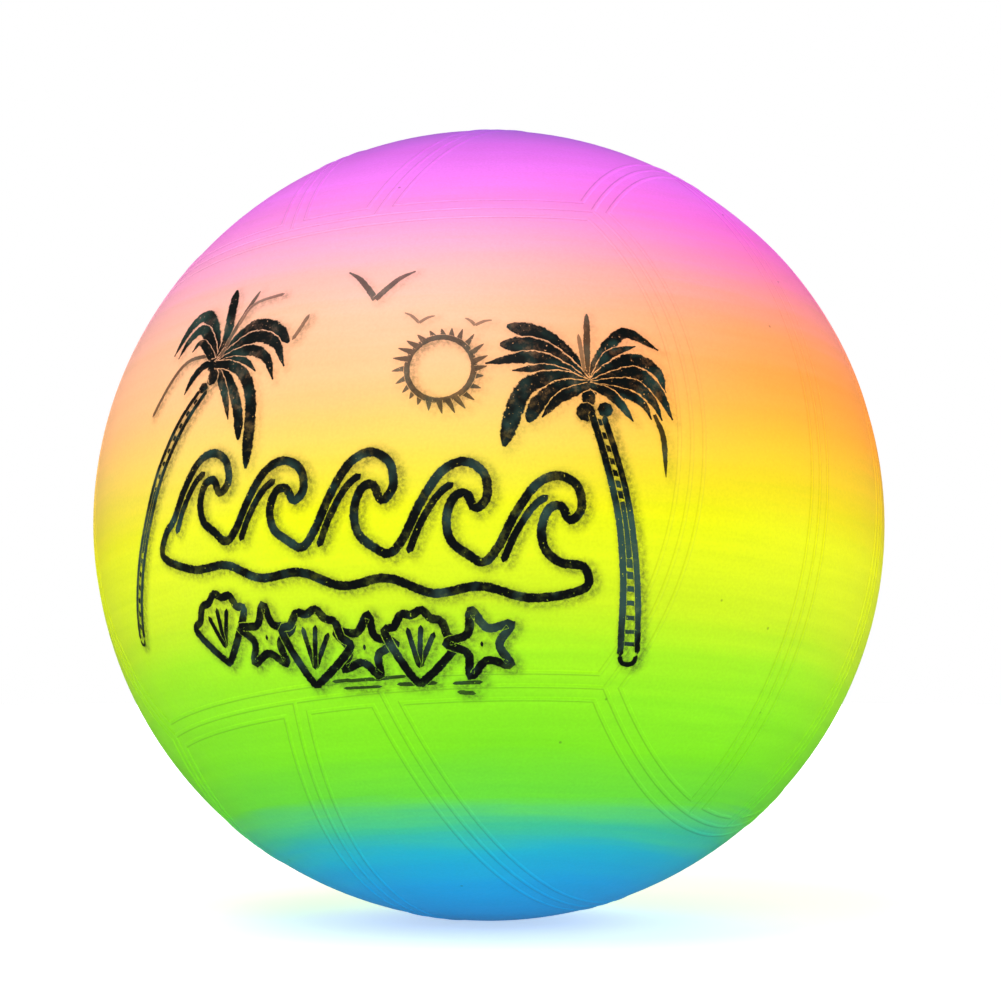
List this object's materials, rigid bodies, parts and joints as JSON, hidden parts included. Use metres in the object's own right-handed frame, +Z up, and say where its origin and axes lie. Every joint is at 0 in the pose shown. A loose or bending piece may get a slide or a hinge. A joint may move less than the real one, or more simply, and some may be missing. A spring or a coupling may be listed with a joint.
{
  "type": "inflatable toy volleyball",
  "caption": "Hollow soft PVC play ball with moulded volleyball seams, a valve seat in its wall and a pull-out plug.",
  "frame": {"origin": "centre of the ball", "axes": "+Z up; the middle of the picture side faces -Y and looks up a little; the valve is on the far side, towards +Y"},
  "size_m": [0.2192, 0.2201, 0.2202],
  "materials": {
    "sprayed_soft_pvc": "satin rainbow spray bands with a black stamped picture",
    "natural_soft_pvc": "satin",
    "white_firm_pvc": "satin"
  },
  "bodies": {
    "ball": {"ball_skin": "sprayed_soft_pvc", "valve_seat": "natural_soft_pvc"},
    "plug": {"valve_plug": "white_firm_pvc"}
  },
  "joints": [
    {"name": "plug_pull", "type": "slide", "parent": "ball", "child": "plug", "axis": [0, 0.9792, -0.2028], "range_m": [0, 0.013]}
  ]
}
